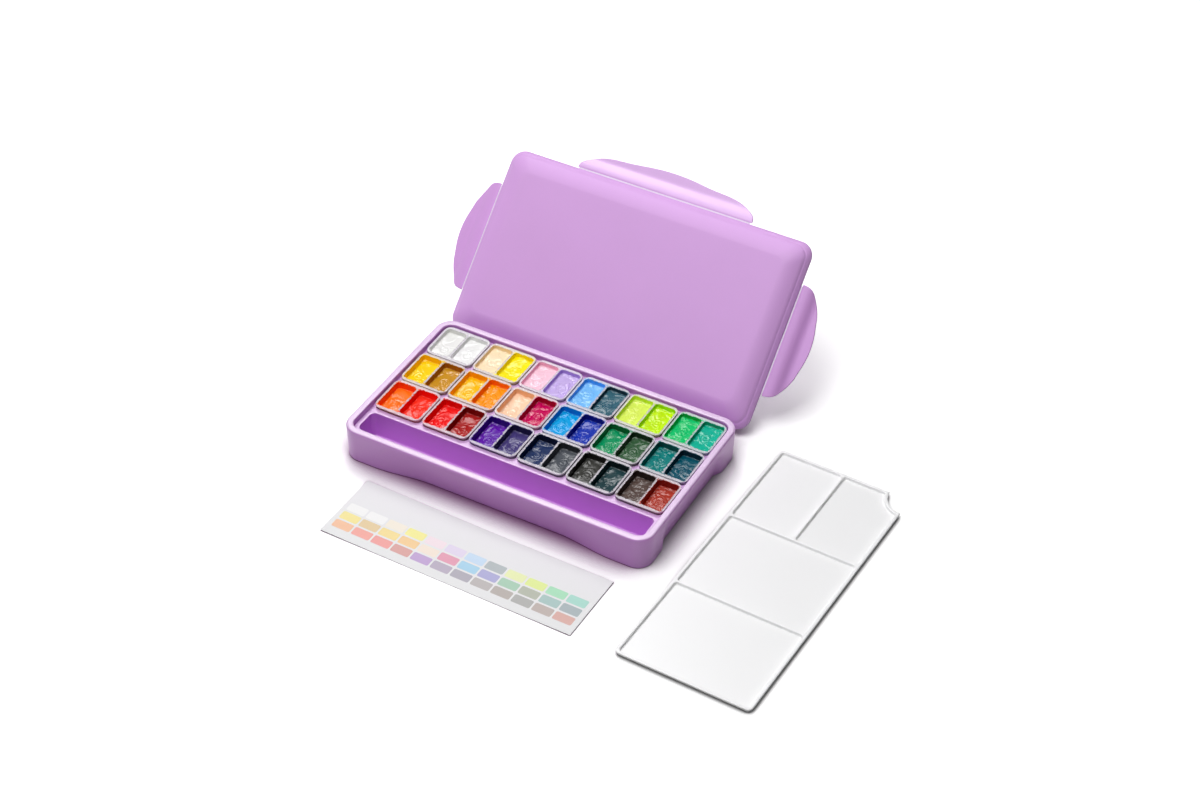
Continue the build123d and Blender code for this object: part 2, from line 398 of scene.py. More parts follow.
def case_piece(finish):
    """The tray: its outer wall, rim and deck, a well for each cup and the brush trough."""
    bm = bmesh.new()
    ring = outline(bm, case_length, case_width, case_corner, steps=12)
    sole = (case_draft + foot_round, 0)
    outside = [sole, *quarter(sole, (case_draft, foot_round), False, 5)]
    rise = case_height - rim_outer_round
    for step in range(1, 7):
        height = foot_round + (rise - foot_round) * step / 6
        outside.append((case_draft * (1 - height / rise), height))
    outer_rings = draw(ring, outside)
    skin(bm, outer_rings)
    cap(bm, outer_rings[0])
    rim = quarter((0, rise), (rim_outer_round, case_height), True, 5)
    rim.append((rim_width - rim_inner_round, case_height))
    rim += quarter(rim[-1], (rim_width, case_height - rim_inner_round), False)
    rim.append((rim_width, deck_z + deck_cove))
    rim += quarter(rim[-1], (rim_width + deck_cove, deck_z), True)
    rings = draw(ring, rim)
    skin(bm, [outer_rings[-1], *rings])
    brims = [rings[-1]]
    for row in ROWS:
        for column in range(1, COLUMNS + 1):
            well = outline(bm, body_length + 2 * well_clearance, body_width + 2 * well_clearance,
                           cell_corner + cup_wall + well_clearance, cup_middle(row, column))
            brims.append(pocket(bm, well, deck_z, well_floor_z, edge_round, edge_round))
    trough = outline(bm, trough_length, trough_width, trough_corner, (0, trough_y), 8)
    brims.append(pocket(bm, trough, deck_z, trough_floor_z, edge_round, 2 * edge_round))
    sheet_between(bm, brims)
    slice_walls(bm, Vector((1, 0, 0)), long_tuck_end, case_width / 2)
    slice_walls(bm, Vector((0, 1, 0)), short_tuck_end, case_length / 2)
    for vert in bm.verts:
        outward = max(abs(vert.co.x) / case_length, abs(vert.co.y) / case_width)
        if vert.co.z < tuck_top_z and outward > OUTER_SHARE:
            tuck_in(vert)
    trough_painted_light = bm.verts.layers.float.new("trough_painted_light")
    rim_top = bm.verts.layers.float.new("rim_top")
    for vert in bm.verts:
        across, along = abs(vert.co.y - trough_y) - trough_width / 2, abs(vert.co.x) - trough_length / 2
        # Marks the trough's floor and walls for painted bounce light: a brighter, more vivid lilac that
        # stands in for light leaking through the walls and bouncing inside.
        vert[trough_painted_light] = max(across, along) < 0.01 * MM and vert.co.z < deck_z - edge_round
        # Painted sheen: the rim's top, and in part the deck, get a paler lilac in their colour as well as a
        # real clear coat.
        vert[rim_top] = 1 if vert.co.z > case_height - 0.6 * rim_inner_round else 0
        if abs(vert.co.z - deck_z) < 0.1 * MM and abs(vert.co.y) < case_width / 2 - rim_width:
            vert[rim_top] = DECK_PAINTED_SHEEN
    piece = make_piece("case_tray", bm, finish, ["case"])
    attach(piece, "case")


def facing_walls(bm, across, wall_at):
    """The faces of two facing outer walls."""
    middles = [(face, face.calc_center_median()) for face in bm.faces]
    return [face for face, middle in middles
            if abs(middle.dot(across)) > wall_at - wall_band and middle.z < tuck_top_z]


def slice_walls(bm, along, reach, wall_at, cuts=34):
    """Cuts two facing outer walls into narrow strips, which can then be bent."""
    across = Vector((along.y, along.x, 0))
    for step in range(cuts + 1):
        walls = facing_walls(bm, across, wall_at)
        band = {item for face in walls for item in (face, *face.edges, *face.verts)}
        bmesh.ops.bisect_plane(bm, geom=list(band), dist=0.001 * MM, plane_no=along,
                               plane_co=along * reach * (2 * step / cuts - 1))


# ======== twin cups ========
def cell_lean(z):
    """How much narrower each side of a cell is at the height z than at the lip."""
    return cup_taper * (lip_z - z) / (lip_z - cell_floor_z)


def cell_middle(row, column, side):
    """The middle of a twin cup's left (0) or right (1) cell."""
    x, y = cup_middle(row, column)
    return x + (side - 0.5) * cell_pitch, y


def cup_piece(row, column, finish):
    """A twin cup: a tapered body, a flat lip with a raised ridge round each mouth, and two cells."""
    bm = bmesh.new()
    under = lip_z - lip_thickness
    middle = cup_middle(row, column)
    body = outline(bm, body_length, body_width, cell_corner + cup_wall, middle)
    taper = cup_taper * (lip_thickness / (lip_z - cup_floor_z))
    rings = draw(body, [(cup_taper + cup_foot_round, cup_floor_z),
                        (cup_taper + 0.25 * MM, cup_floor_z + 0.25 * MM),
                        (cup_taper, cup_floor_z + cup_foot_round), (taper, under)])
    cap(bm, rings[0])
    start, ridge_foot = (lip_edge_round, under), (0, lip_z - lip_ridge)
    edge = [start, *quarter(start, (0, under + lip_edge_round), False, 3),
            ridge_foot, *quarter(ridge_foot, (lip_ridge, lip_z), True, 3),
            *quarter((lip_ridge, lip_z), (0.75 * MM, lip_flat_z), False, 3)]
    rings += draw(outline(bm, lip_length, lip_width, lip_corner, middle), edge)
    skin(bm, rings)
    brims = [rings[-1]]
    for side in (0, 1):
        cell = outline(bm, cell_length, cell_width, cell_corner, cell_middle(row, column, side))
        crest = (-lip_ridge, lip_z)
        profile = [(-0.6 * MM, lip_flat_z), (-0.45 * MM, lip_z - 0.06 * MM), crest,
                   *quarter(crest, (0, lip_z - mouth_round), False, 3)]
        for rise, inset in ((1.0 * MM, 0), (0.3 * MM, 0.3 * MM), (0, 1.0 * MM)):
            profile.append((cell_lean(cell_floor_z + rise) + inset, cell_floor_z + rise))
        cell_rings = draw(cell, profile)
        skin(bm, cell_rings)
        cap(bm, cell_rings[-1])
        brims.append(cell_rings[0])
    sheet_between(bm, brims)
    stain = bm.verts.layers.float_color.new("stain")
    stained = bm.verts.layers.float.new("stained")
    mouth = bm.verts.layers.float.new("mouth")
    for vert in bm.verts:
        number = 2 * (column - 1) + (vert.co.x > middle[0])
        vert[stain] = (*GOUACHE[row][number][1], 1)
        vert[stained] = 0.5 if vert.co.z < lip_z - 0.32 * MM else 0.16
        across = abs(abs(vert.co.x - middle[0]) - cell_pitch / 2) - cell_length / 2
        outside = max(across, abs(vert.co.y - middle[1]) - cell_width / 2)
        vert[mouth] = 1 - max(outside, 0) / smear_reach if vert.co.z > lip_z - 0.5 * MM else 0
    piece = make_piece(f"twin_cup_{row}{column}", bm, finish, [f"cup_{row}{column}"])
    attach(piece, f"cup_{row}{column}")


# ======== gouache ========
GRID_X = 44
GRID_Y = 78
SEED_STEP = Vector((3.7, 1.3, 5.9))
curl_height = 0.34
curl_pitch = 2.6 * MM
curl_fade = (3.2 * MM, 6.5 * MM)
layer_height = 0.42
seam_depth = 0.4
swell_height = 0.6
paint_inset = 0.3 * MM
paint_calm = 2 * MM
creep_reach = 0.8 * MM
wall_shade_reach = 0.35 * MM
paint_clear = 0.06 * MM
paint_foot = 1.2 * MM


def on_wall(x, y, inset):
    """Slides a point of a cell to its outline, drawn in by an inset."""
    half_x, half_y = cell_length / 2 - inset, cell_width / 2 - inset
    corner = max(cell_corner - inset, 0.3 * MM)
    over_x, over_y = abs(x) - (half_x - corner), abs(y) - (half_y - corner)
    if over_x > 0 and over_y > 0:
        reach = corner / hypot(over_x, over_y)
        near_x, near_y = half_x - corner + over_x * reach, half_y - corner + over_y * reach
    elif over_x > over_y:
        near_x, near_y = half_x, min(abs(y), half_y - corner)
    else:
        near_x, near_y = min(abs(x), half_x - corner), half_y
    return (near_x if x > 0 else -near_x), (near_y if y > 0 else -near_y)


def in_cell(u, v, inset):
    """Maps a point of the square -1 to 1 to the rounded cell."""
    half_x, half_y = cell_length / 2 - inset, cell_width / 2 - inset
    corner = max(cell_corner - inset, 0.3 * MM)
    x, y = u * half_x, v * half_y
    a = (abs(x) - (half_x - corner)) / corner
    b = (abs(y) - (half_y - corner)) / corner
    if a > 0 and b > 0:
        x = (half_x - corner + a * (1 - b * b / 2) ** 0.5 * corner) * (1 if x > 0 else -1)
        y = (half_y - corner + b * (1 - a * a / 2) ** 0.5 * corner) * (1 if y > 0 else -1)
    return x, y


def noise_at(seed, x, y):
    """Noise from -1 to 1 at a point of the plane, from another part of it for each seed."""
    return noise.noise(Vector((x, y, 0)) + SEED_STEP * seed)


def step_up(value, low, high):
    """0 below low, 1 above high and a smooth step between."""
    share = min(max((value - low) / (high - low), 0), 1)
    return share * share * (3 - 2 * share)


def stirred(x, y, seed, lively):
    """Height of the paint at a point of its cell: a curl, folded layers, creases and a gentle swell."""
    swell = noise_at(seed, x / (9 * MM), y / (12 * MM))
    warp = noise_at(seed + 7, x / (5 * MM), y / (5 * MM))
    eye_x = 3 * MM * noise_at(seed, 0.3, 7.7)
    eye_y = -3 * MM + 9 * MM * noise_at(seed, 1.9, 4.1)
    turn = 1 if noise_at(seed, 9.5, 2.2) > 0 else -1
    away = hypot(x - eye_x, (y - eye_y) * 0.8) + 0.8 * MM * warp
    phase = atan2(y - eye_y, x - eye_x) * turn + 2 * pi * away / curl_pitch
    curl = (0.5 + 0.5 * cos(phase)) ** 2 * (1 - step_up(away, *curl_fade))
    layer = step_up(noise_at(seed + 3, x / (7 * MM) + 0.3 * warp, y / (9 * MM)), -0.10, 0.10)
    seam = exp(-(8 * noise_at(seed + 5, x / (8 * MM), y / (7 * MM))) ** 2)
    seam *= step_up(noise_at(seed + 6, x / (9 * MM), y / (9 * MM)), 0, 0.2)
    stir = curl_height * curl + layer_height * layer - seam_depth * seam
    return (lively * stir + swell_height * swell) * MM


def paint_top(bm, centre, level, seed, lively):
    """The stirred top of one cell's paint, which creeps up at the walls. Returns its edge."""
    inset = cell_lean(level) + paint_inset
    verts = bmesh.ops.create_grid(bm, x_segments=GRID_X, y_segments=GRID_Y, size=1)["verts"]
    film = bm.verts.layers.float["film"]
    for vert in verts:
        u, v = vert.co.x, vert.co.y
        x, y = in_cell(u, v, inset)
        shore = min((1 - abs(u)) * cell_length, (1 - abs(v)) * cell_width) / 2
        calm = min(shore / paint_calm, 1)
        creep = 0.7 + 0.9 * noise_at(seed + 11, x / (3 * MM), y / (3 * MM))
        rise = creep * MM * exp(-shore / creep_reach) + calm * stirred(x, y, seed, lively)
        vert.co = (centre[0] + x, centre[1] + y, level + rise)
        # Painted shade mark: 1 at the walls, fading out within a fraction of a millimetre.
        vert[film] = exp(-shore / wall_shade_reach)
    edges = {edge for vert in verts for edge in vert.link_edges}
    return [edge for edge in edges if edge.is_boundary]


def paint_film(bm, edge, centre, height_at, inset):
    """Draws the paint's edge on to another line of the cell's wall. Returns the new edge."""
    grown = bmesh.ops.extrude_edge_only(bm, edges=edge)["geom"]
    film = bm.verts.layers.float["film"]
    for vert in (item for item in grown if isinstance(item, bmesh.types.BMVert)):
        x, y = vert.co.x - centre[0], vert.co.y - centre[1]
        z = height_at(x, y)
        x, y = on_wall(x, y, cell_lean(z) + inset)
        vert.co = (centre[0] + x, centre[1] + y, z)
        # Painted shade mark on the film of paint up the wall.
        vert[film] = 1
    return [item for item in grown if isinstance(item, bmesh.types.BMEdge)]


def paint_filling(bm, centre, level, seed, tint, lively):
    """One cell's paint: a stirred top, a ragged film up the walls and plain sides down to the floor."""

    def ragged(x, y):
        """Where the film of paint ends on the wall, some way under the lip."""
        fringe = noise_at(seed, x / (1.3 * MM), y / (1.3 * MM))
        bite = noise_at(seed + 40, x / (3.4 * MM), y / (3.4 * MM))
        return lip_z - (0.45 + 0.6 * fringe + 1.6 * max(bite - 0.18, 0)) * MM

    edge = paint_top(bm, centre, level, seed, lively)
    edge = paint_film(bm, edge, centre, lambda x, y: ragged(x, y) - 0.3 * MM, 0.2 * MM)
    edge = paint_film(bm, edge, centre, ragged, paint_clear)
    edge = paint_film(bm, edge, centre, lambda x, y: cell_floor_z + paint_foot, paint_clear)
    edge = paint_film(bm, edge, centre, lambda x, y: cell_floor_z + paint_clear, paint_foot)
    cap(bm, edge)
    layer = bm.verts.layers.float_color["tint"]
    for vert in bm.verts:
        if abs(vert.co.x - centre[0]) < cell_length / 2:
            vert[layer] = (*tint, 1)


def paint_piece(row, column, finish):
    """Both paints of a twin cup."""
    bm = bmesh.new()
    bm.verts.layers.float_color.new("tint")
    # The film layer marks where painted shade deepens the paint near and on the walls.
    bm.verts.layers.float.new("film")
    for side in (0, 1):
        number = 2 * (column - 1) + side
        name, tint = GOUACHE[row][number]
        seed = number + 12 * ROWS.index(row) + 1
        lively = 0.5 if name in SMOOTH_PAINTS else 1
        paint_filling(bm, cell_middle(row, column, side), lip_z - fill_drop[row], seed, tint, lively)
    name = f"gouache_{row}{column}"
    piece = make_piece(name, bm, finish, [f"paint_{row}{column}"], crease=80)
    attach(piece, f"cup_{row}{column}")


# ======== lid ========
def pillow_profile(inset_by=0, drop=0):
    """(inset, height) points of the lid's border, from its band to its flat face."""
    roll, shoulder, face = 5.5 * MM, 7.6 * MM, 19 * MM
    band, pull = 2.0 * MM, 3.3 * MM
    groove_depth, groove_at, groove_half = 0.3 * MM, 3.4, 0.55
    points = [(inset_by, band - drop / 2)]
    for inset in (0.15, 0.6, 1.4, 2.2, 2.7, 3.1, 3.4, 3.7, 4.1, 4.7, 5.5):
        t = (inset * MM / roll) ** 0.5
        height = band * (1 - t) ** 2 + 2 * pull * t * (1 - t) + shoulder * t * t
        groove = groove_depth * exp(-((inset - groove_at) / groove_half) ** 2)
        points.append((inset_by + inset * MM, height - drop * t - groove))
    for step in range(9):
        t = 0.07 + 0.93 * step / 8
        height = lid_depth - (lid_depth - shoulder) * (1 - t) ** 1.7
        points.append((inset_by + roll + (face - roll) * t, height - drop))
    return points


def lid_piece(finish):
    """The lid's pan: an outer and an inner skin with the same pillow border."""
    bm = bmesh.new()
    ring = outline(bm, lid_length, lid_width, lid_corner, (0, lid_width / 2), 10, 0.3)
    outer = draw(ring, [(0.9 * MM, 0), (0.35 * MM, 0.15 * MM), (0, 0.6 * MM), *pillow_profile()])
    inner = draw(ring, [(1.3 * MM, 0.1 * MM), (lid_wall, 0.6 * MM), *pillow_profile(lid_wall, lid_wall)])
    skin(bm, outer)
    skin(bm, inner)
    skin(bm, [outer[0], inner[0]])
    cap(bm, outer[-1])
    cap(bm, inner[-1])
    bmesh.ops.transform(bm, matrix=lid_frame(), verts=bm.verts)
    piece = make_piece("lid_panel", bm, finish, ["lid"])
    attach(piece, "lid")


# ======== flaps ========
LONG_FLAP = {"half": 79.5 * MM, "corner": (72.5 * MM, 10.0 * MM), "flank": (35 * MM, 17.4 * MM),
             "tip": 20.3 * MM, "bend": 10.5 * MM, "flare": 3.0 * MM, "fall": 0.5}
SHORT_FLAP = {"half": 47 * MM, "corner": (42 * MM, 11.4 * MM), "flank": (23 * MM, 19.9 * MM),
              "tip": 23.4 * MM, "bend": 11.5 * MM, "flare": 7.0 * MM, "fall": 2.0}
FLAP_STEPS = 60
flap_start = 0.7 * MM
flap_root_reach = 1.4 * MM
flap_edge_round = 0.55 * MM
flap_strip = 0.7 * MM
web_thickness = 0.5 * MM
web_on_lid = 0.55 * MM
web_on_flap = 0.15 * MM
web_shorter = 3 * MM


def flap_edge(shape):
    """Points of a flap's right half, from its tip round to its hinge, which lies along the X axis."""
    (corner_x, corner_y), (flank_x, flank_y) = shape["corner"], shape["flank"]
    steep = 1.25 * (shape["tip"] - flank_y) / flank_x
    reach = (corner_x - flank_x) / 3
    end = shape["half"] - corner_x
    tip, flank, corner = (0, shape["tip"]), (flank_x, flank_y), (corner_x, corner_y)
    curves = [
        (tip, (0.45 * flank_x, shape["tip"]), (0.7 * flank_x, flank_y + 0.3 * flank_x * steep), flank),
        (flank, (flank_x + reach, flank_y - steep * reach), (corner_x - reach, corner_y + 0.6 * reach),
         corner),
        (corner, (corner_x + 0.6 * end, corner_y - 0.36 * end), (shape["half"], 0.6 * corner_y),
         (shape["half"], flap_start)),
    ]
    points = [Vector((0, -shape["tip"], 0))]
    for curve in curves:
        points += interpolate_bezier(*[(x, -y, 0) for x, y in curve], 11)[1:]
    return points


def flap_drop_at(depth, shape):
    """How far a flap has dropped at this distance from its hinge: it bends down, then flares out."""
    bend, flare = shape["bend"], shape["flare"]
    width = (bend + flare) / FLAP_STEPS
    slopes = []
    for step in range(FLAP_STEPS):
        here = (step + 0.5) * width
        past = here - bend
        slopes.append((here / bend) ** shape["fall"] if past < 0 else (1 - past / flare) ** 1.5)
    passed = min(depth / width, FLAP_STEPS)
    whole = int(passed)
    fallen = sum(slopes[:whole]) + (slopes[whole] * (passed % 1) if passed < FLAP_STEPS else 0)
    return flap_drop * fallen / sum(slopes)


def flap_piece(name, shape, place, finish):
    """A flap: a flat plate with soft edges, thinned at its root and then bent."""
    bm = bmesh.new()
    right = flap_edge(shape)
    left = [Vector((-point.x, point.y, 0)) for point in reversed(right[1:])]
    verts = [bm.verts.new(point - Vector((0, 0, flap_thickness / 2))) for point in left + right]
    plate = bm.faces.new(verts)
    grown = bmesh.ops.extrude_face_region(bm, geom=[plate])["geom"]
    upper = [item for item in grown if isinstance(item, bmesh.types.BMVert)]
    bmesh.ops.translate(bm, verts=upper, vec=(0, 0, flap_thickness))
    rims = [edge for edge in bm.edges if abs(edge.verts[0].co.z - edge.verts[1].co.z) < 0.1 * MM
            and edge.verts[0].co.y < -flap_start - 0.01 * MM]
    bmesh.ops.bevel(bm, geom=rims, offset=flap_edge_round, segments=3, profile=0.5, affect="EDGES",
                    material=-1)
    depth = flap_start
    while depth < shape["bend"] + shape["flare"]:
        depth += flap_strip
        bmesh.ops.bisect_plane(bm, geom=[*bm.faces, *bm.edges, *bm.verts], dist=0.01 * MM,
                               plane_co=(0, -depth, 0), plane_no=(0, 1, 0))
    for vert in bm.verts:
        away = -vert.co.y
        root = min(max((away - flap_start) / flap_root_reach, 0), 1)
        vert.co.z = vert.co.z * (0.5 + 0.5 * root) - flap_drop_at(away, shape)
    bmesh.ops.transform(bm, matrix=place, verts=bm.verts)
    piece = make_piece(f"clip_{name}", bm, finish, [name])
    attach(piece, name)


def hinge_strip(name, shape, place, finish):
    """The thin web that a flap turns on, from the lid's band to the flap's root."""
    bm = bmesh.new()
    inner, outer = web_on_lid, flap_start + web_on_flap
    size = Matrix.Diagonal((2 * shape["half"] - web_shorter, inner + outer, 1, 1))
    flat = Matrix.Translation((0, (inner - outer) / 2, -web_thickness / 2)) @ size
    bmesh.ops.create_grid(bm, x_segments=1, y_segments=6, size=0.5, matrix=flat)
    grown = bmesh.ops.extrude_face_region(bm, geom=list(bm.faces))["geom"]
    upper = [item for item in grown if isinstance(item, bmesh.types.BMVert)]
    bmesh.ops.translate(bm, verts=upper, vec=(0, 0, web_thickness))
    bmesh.ops.transform(bm, matrix=place, verts=bm.verts)
    strip = make_piece(f"hinge_web_{name[5:]}", bm, finish, [])
    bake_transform(strip, "lid", name, place @ Vector((0, inner, 0)), place @ Vector((0, -flap_start, 0)))


def lid_flaps(long_finish, short_finish, web_finish):
    """The four flaps, each on its web."""
    on_lid = lid_frame()
    out = lid_length / 2 + hinge_gap

    def hung(x, y, turn):
        """Where a flap hangs from the lid's edge, at this point and turn of the lid's own frame."""
        return on_lid @ Matrix.Translation((x, y, hinge_height)) @ Matrix.Rotation(turn, 4, "Z")

    back = hung(0, lid_width + hinge_gap, pi)
    right, left = hung(out, lid_width / 2, pi / 2), hung(-out, lid_width / 2, -pi / 2)
    foot = Matrix.Translation(hinges["front_flap_hinge"]["pos_m"])
    for name, place in (("flap_back", back), ("flap_front", foot)):
        flap_piece(name, LONG_FLAP, place, long_finish)
        hinge_strip(name, LONG_FLAP, place, web_finish)
    for name, place in (("flap_right", right), ("flap_left", left)):
        flap_piece(name, SHORT_FLAP, place, short_finish)
        hinge_strip(name, SHORT_FLAP, place, web_finish)


# ======== mixing palette ========
palette_middle = (214.55 * MM, -36.6 * MM)
palette_turn = radians(-2.3)
palette_length = 257.6 * MM
palette_width = 112.3 * MM
palette_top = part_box("palette")[1].z
palette_corner = 4 * MM
palette_edge_round = 0.7 * MM
palette_rim = 2.7 * MM
palette_rib = 2.0 * MM
palette_floor = 1.5 * MM
palette_pocket_corner = 2.5 * MM
palette_notch = 17.5 * MM
notch_tip = 1.4 * MM


def bitten(bm, low, high, radius, bite):
    """A function that adds a ring: a rounded rectangle with the palette's far corner bitten off."""
    middle = ((low[0] + high[0]) / 2, (low[1] + high[1]) / 2)
    bite_centre = Vector((palette_width / 2, palette_length / 2))

    def ring(inset, z):
        size = (high[0] - low[0] - 2 * inset, high[1] - low[1] - 2 * inset, 1, 1)
        place = Matrix.Translation((*middle, z)) @ Matrix.Diagonal(size)
        corners = bmesh.ops.create_grid(bm, x_segments=1, y_segments=1, size=0.5, matrix=place)["verts"]
        plain = sorted(corners, key=lambda corner: corner.co.x + corner.co.y)[:3]
        plate = round_off(bm, plain, max(radius - inset, 0.2 * MM), 6)[0].link_faces[0]
        far = max(plate.verts, key=lambda corner: corner.co.x + corner.co.y)
        away = bite_centre.x - far.co.x
        arc = round_off(bm, [far], ((bite + inset) ** 2 - away ** 2) ** 0.5 - away, 12)
        for vert in arc:
            outward = (vert.co.xy - bite_centre).normalized() * (bite + inset)
            vert.co.xy = bite_centre + outward
        tips = [max(arc, key=lambda vert: vert.co.x), max(arc, key=lambda vert: vert.co.y)]
        return open_plate(bm, round_off(bm, tips, notch_tip, 4))

    return ring


def palette_piece(finish):
    """The tray: a side that slopes in to its foot, and four fields with ribs between them."""
    bm = bmesh.new()
    half_width, half_length = palette_width / 2, palette_length / 2
    foot = (2.0 * MM, 0)
    side = [foot, *quarter(foot, (1.4 * MM, 0.6 * MM), False, 3), (0.4 * MM, 2.6 * MM),
            (0, 3.0 * MM), (0, palette_top - palette_edge_round)]
    side += quarter(side[-1], (palette_edge_round, palette_top), True)
    tray = bitten(bm, (-half_width, -half_length), (half_width, half_length),
                  palette_corner, palette_notch)
    rings = draw(tray, side)
    skin(bm, rings)
    cap(bm, rings[0])
    inner_width = palette_width - 2 * palette_rim
    third = (palette_length - 2 * palette_rim - 2 * palette_rib) / 3
    half_pocket = (inner_width - palette_rib) / 2
    far_y = third + palette_rib
    shapes = [outline(bm, inner_width, third, palette_pocket_corner, (0, y)) for y in (-far_y, 0)]
    far_left = (-(half_pocket + palette_rib) / 2, far_y)
    shapes.append(outline(bm, half_pocket, third, palette_pocket_corner, far_left))
    shapes.append(bitten(bm, (palette_rib / 2, far_y - third / 2), (inner_width / 2, far_y + third / 2),
                         palette_pocket_corner, palette_notch + palette_rim))
    brims = [pocket(bm, shape, palette_top, palette_floor, palette_edge_round, 1.0 * MM)
             for shape in shapes]
    sheet_between(bm, [rings[-1], *brims])
    place = Matrix.Translation((*palette_middle, 0)) @ Matrix.Rotation(palette_turn, 4, "Z")
    bmesh.ops.transform(bm, matrix=place, verts=bm.verts)
    piece = make_piece("mixing_palette", bm, finish, ["palette"])
    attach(piece, "palette")


# ======== colour card ========
CARD = "colour_card"
card_middle = (7.9 * MM, -128 * MM)
card_turn = radians(-1.15)
card_length = 219.5 * MM
card_width = 64 * MM
card_thickness = 0.45 * MM
card_lift = 0.6 * MM
field_length = 16.2 * MM
field_width = 8.4 * MM
field_pitch = (17.7 * MM, 10.1 * MM)
field_start = (-105.7 * MM, 4.8 * MM)
field_corner = 1.4 * MM
ink_height = 0.02 * MM
# The paper's own off-white, made greyer than the white ink as painted shade from the case.
PAPER_WITH_PAINTED_SHADE = (0.83, 0.83, 0.84)
WHITE_INK = (0.93, 0.93, 0.92)
DENSE_INK = (0.40, 0.345, 0.32)
PALE_INK = 0.93


def printed(tint):
    """A paint's colour as it comes out in pale ink."""
    return tuple(dense + (PALE_INK - dense) * part ** 0.65 for dense, part in zip(DENSE_INK, tint))


def card_piece(finish):
    """The card: a thin sheet with its ends lifted a little, and a field of ink for each paint."""
    bm = bmesh.new()
    ink = bm.verts.layers.float_color.new("ink")
    flat = Matrix.Diagonal((card_length, card_width, 1, 1))
    bmesh.ops.create_grid(bm, x_segments=44, y_segments=8, size=0.5, matrix=flat)
    grown = bmesh.ops.extrude_face_region(bm, geom=list(bm.faces))["geom"]
    upper = [item for item in grown if isinstance(item, bmesh.types.BMVert)]
    bmesh.ops.translate(bm, verts=upper, vec=(0, 0, card_thickness))
    for vert in bm.verts:
        vert[ink] = (*PAPER_WITH_PAINTED_SHADE, 1)
    for line, row in enumerate(ROWS):
        for number, (name, tint) in enumerate(GOUACHE[row]):
            x = field_start[0] + number * field_pitch[0] + field_length / 2
            y = field_start[1] - line * field_pitch[1] - field_width / 2
            ring = outline(bm, field_length, field_width, field_corner, (x, y), 4)
            edges = ring(0, card_thickness + ink_height)
            cap(bm, edges)
            colour = WHITE_INK if "white" in name else printed(tint)
            for vert in {vert for edge in edges for vert in edge.verts}:
                vert[ink] = (*colour, 1)
    for vert in bm.verts:
        vert.co.z += card_lift * (2 * vert.co.x / card_length) ** 2
    place = Matrix.Translation((*card_middle, 0)) @ Matrix.Rotation(card_turn, 4, "Z")
    bmesh.ops.transform(bm, matrix=place, verts=bm.verts)
    piece = make_piece("printed_card", bm, finish, [CARD])
    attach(piece, CARD)


# ======== finishes ========
CASE_LILAC = (0.56, 0.23, 0.64)
# Painted bounce light inside the trough.
TROUGH_PAINTED_LIGHT_LILAC = (0.66, 0.28, 0.77)
# A paler lilac painted on the rim's top and the deck as sheen.
RIM_PAINTED_SHEEN_LILAC = (0.80, 0.65, 0.84)
# The lid and its flaps are the same plastic as the case. Their lighter lilacs are painted light, and the
# short flaps' lower green against the long flaps is painted shade.
LID_LILAC_PAINTED_LIGHTER = (0.69, 0.375, 0.78)
LONG_FLAP_LILAC_PAINTED_LIGHTER = (0.68, 0.39, 0.77)
SHORT_FLAP_LILAC_PAINTED_LIGHT_AND_SHADE = (0.68, 0.35, 0.77)


def scaled(colour, share):
    """A colour made darker or lighter."""
    return tuple(part * share for part in colour)


def satin_plastic(name, colour, gloss, roughness, trough_light_colour=None):
    """Moulded plastic with a fine satin grain. On the case, painted bounce light makes the trough a
    brighter, more vivid lilac, and a painted sheen with a clear coat makes the rim's top and the deck paler.
    """
    finish = Finish(name, Specular_IOR_Level=gloss)
    cloud = finish.noise(45 * MM, 2)
    fleck = finish.noise(0.9 * MM, 2)
    tint = finish.mix(cloud * 0.6 + fleck * 0.4, scaled(colour, 0.95), scaled(colour, 1.05))
    if trough_light_colour:
        # Painted bounce light: the trough is mixed toward a brighter, more vivid lilac.
        tint = finish.mix(finish.attribute("trough_painted_light", "Fac"), tint, trough_light_colour)
        rim_top = finish.attribute("rim_top", "Fac")
        # Painted sheen: the rim's top and the deck are mixed toward a paler lilac; the coat below is a real
        # one.
        tint = finish.mix(rim_top * 0.7, tint, RIM_PAINTED_SHEEN_LILAC)
        finish.set("Coat Weight", rim_top * 0.3)
        finish.set("Coat Roughness", 0.3)
    finish.set("Base Color", tint)
    finish.set("Roughness", fleck * 0.12 + cloud * 0.06 + (roughness - 0.09))
    finish.bump(finish.noise(0.3 * MM, 2) * 0.3 + finish.noise(9 * MM, 1), 0.3, 0.03 * MM)
    return finish


def web_plastic():
    """The thin hinge web, paler than the lid in random patches: painted light, standing in for light shining
    through the gap at the hinge.
    """
    finish = Finish("hinge_web_painted_light")
    patchy = finish.noise(1.5 * MM, 3)
    # Painted light: a pale lilac for the light through the hinge gap.
    finish.set("Base Color", finish.mix(patchy, (0.80, 0.70, 0.86), (0.92, 0.86, 0.95)))
    finish.set("Roughness", patchy * 0.2 + 0.35)
    finish.bump(patchy, 0.2, 0.05 * MM)
    return finish


def milky_plastic():
    """Thin, slightly see-through cup plastic, stained and smeared by the paint that it holds."""
    finish = Finish("milky_cup")
    cloud = finish.noise(12 * MM, 3)
    milk = finish.mix(cloud, (0.92, 0.86, 0.95), (0.98, 0.94, 1.00))
    ragged = finish.attribute("mouth", "Fac") + finish.noise(1.7 * MM, 2, 0.5) * 1.6 - 1.2
    smear = ragged.ramp(0.45, 0.52)
    stained = (finish.attribute("stained", "Fac") + smear * 0.8).clamp()
    finish.set("Base Color", finish.mix(stained, milk, finish.attribute("stain", "Color")))
    finish.set("Alpha", smear * 0.25 + 0.72)
    finish.set("Roughness", finish.noise(2 * MM, 2) * 0.15 + 0.18)
    finish.bump(finish.noise(3 * MM, 2), 0.25, 0.06 * MM)
    return finish


